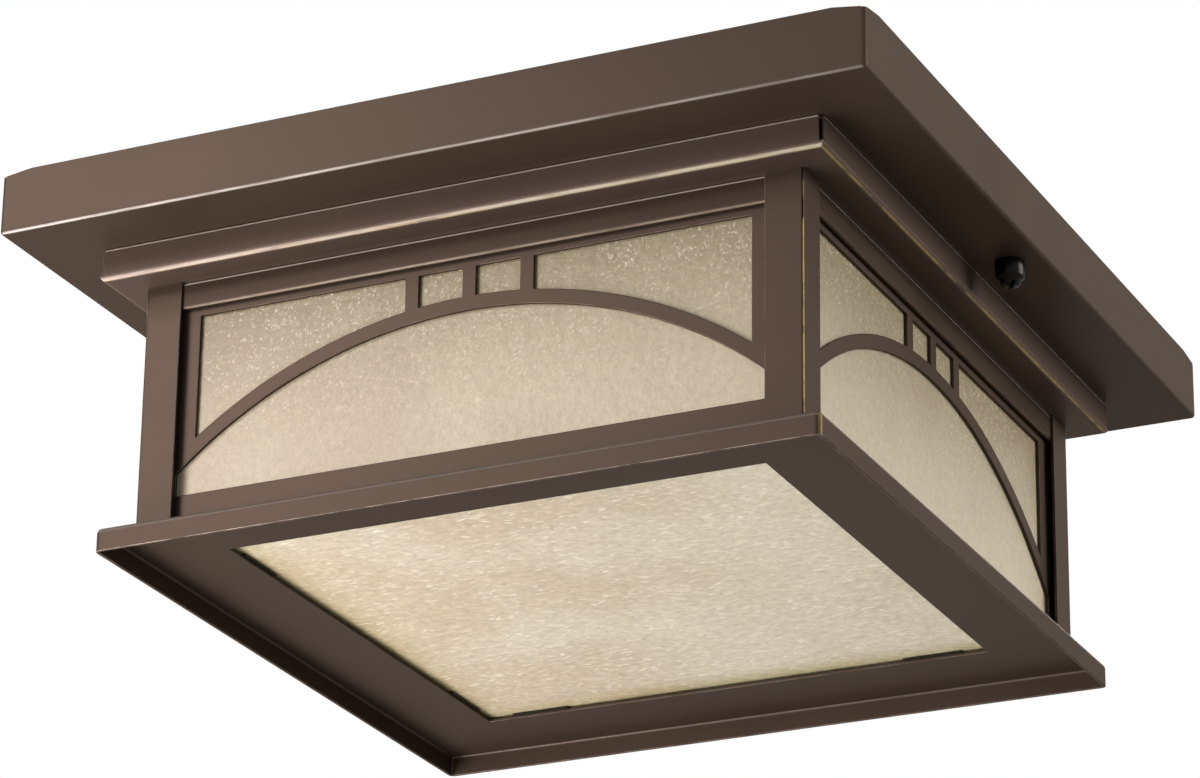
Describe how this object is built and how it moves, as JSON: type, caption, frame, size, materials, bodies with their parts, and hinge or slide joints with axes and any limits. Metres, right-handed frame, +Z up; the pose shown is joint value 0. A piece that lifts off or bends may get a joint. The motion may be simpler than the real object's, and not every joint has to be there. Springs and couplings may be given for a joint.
{
  "type": "outdoor flush mount light",
  "caption": "Square bronze flush mount ceiling light with a stepped canopy, arched lattice sides over cream seeded glass and a framed bottom glass, lowered off its studs for relamping.",
  "frame": {"origin": "centre of the two outlet-box slots, on the top face of the mounting bar, in the ceiling plane", "axes": "+Z up into the ceiling, +X along the mounting bar towards the right stud, -Y the front side"},
  "size_m": [0.305, 0.305, 0.127],
  "materials": {
    "bronze_paint": "satin oil-rubbed bronze paint, rubbed to gold on the edges",
    "seeded_glass": "cream seeded and rolled art glass, translucent",
    "black_spring_steel": "blackened spring steel",
    "black_nut": "satin black",
    "zinc_steel": "zinc-plated steel",
    "rivet_aluminium": "plain aluminium",
    "white_enamel": "white reflector enamel",
    "white_nylon": "natural nylon",
    "green_screw": "green-dyed steel",
    "porcelain": "white glazed porcelain",
    "contact_brass": "bright brass",
    "cap_aluminium": "bright aluminium",
    "black_insulator": "black insulator with a solder tip",
    "frosted_bulb": "frosted white lamp glass"
  },
  "bodies": {
    "ceiling_mount": {"mounting_bar": "zinc_steel", "mounting_studs": "zinc_steel", "stud_lock_nuts": "zinc_steel", "reflector_tray": "white_enamel", "reflector_screws": "zinc_steel", "wire_bushing": "white_nylon", "ground_screw": "green_screw", "bracket_screws": "zinc_steel", "socket_screws": "zinc_steel", "front_socket_bracket": "zinc_steel", "front_socket_body": "porcelain", "front_screw_shell": "contact_brass", "front_centre_contact": "contact_brass", "rear_socket_bracket": "zinc_steel", "rear_socket_body": "porcelain", "rear_screw_shell": "contact_brass", "rear_centre_contact": "contact_brass"},
    "cover": {"canopy_pan": "bronze_paint", "step_collar": "bronze_paint", "bottom_tray": "bronze_paint", "bottom_glass": "seeded_glass", "bottom_glass_clips": "black_spring_steel", "side_glass_clips": "black_spring_steel", "collar_rivets": "rivet_aluminium", "rail_rivets": "rivet_aluminium", "post_rivets": "rivet_aluminium", "tray_studs": "zinc_steel", "tray_nuts": "zinc_steel", "front_left_post": "bronze_paint", "front_right_post": "bronze_paint", "rear_right_post": "bronze_paint", "rear_left_post": "bronze_paint", "front_top_rail": "bronze_paint", "front_lattice": "bronze_paint", "front_glass": "seeded_glass", "right_top_rail": "bronze_paint", "right_lattice": "bronze_paint", "right_glass": "seeded_glass", "rear_top_rail": "bronze_paint", "rear_lattice": "bronze_paint", "rear_glass": "seeded_glass", "left_top_rail": "bronze_paint", "left_lattice": "bronze_paint", "left_glass": "seeded_glass"},
    "left_nut": {"left_cap_nut": "black_nut"},
    "right_nut": {"right_cap_nut": "black_nut"},
    "front_lamp": {"front_lamp_bulb": "frosted_bulb", "front_lamp_cap": "cap_aluminium", "front_lamp_foot": "black_insulator"},
    "rear_lamp": {"rear_lamp_bulb": "frosted_bulb", "rear_lamp_cap": "cap_aluminium", "rear_lamp_foot": "black_insulator"}
  },
  "joints": [
    {"name": "cover_lower", "type": "slide", "parent": "ceiling_mount", "child": "cover", "axis": [0, 0, -1], "range_m": [0, 0.14]},
    {"name": "left_nut_turn", "type": "hinge", "parent": "cover", "child": "left_nut", "pos_m": [-0.1405, 0, -0.022], "axis": [0, 0, -1], "continuous": true},
    {"name": "right_nut_turn", "type": "hinge", "parent": "cover", "child": "right_nut", "pos_m": [0.1405, 0, -0.022], "axis": [0, 0, -1], "continuous": true},
    {"name": "front_lamp_draw", "type": "slide", "parent": "ceiling_mount", "child": "front_lamp", "axis": [1, 0, 0], "range_m": [0, 0.028]},
    {"name": "rear_lamp_draw", "type": "slide", "parent": "ceiling_mount", "child": "rear_lamp", "axis": [-1, 0, 0], "range_m": [0, 0.028]}
  ]
}
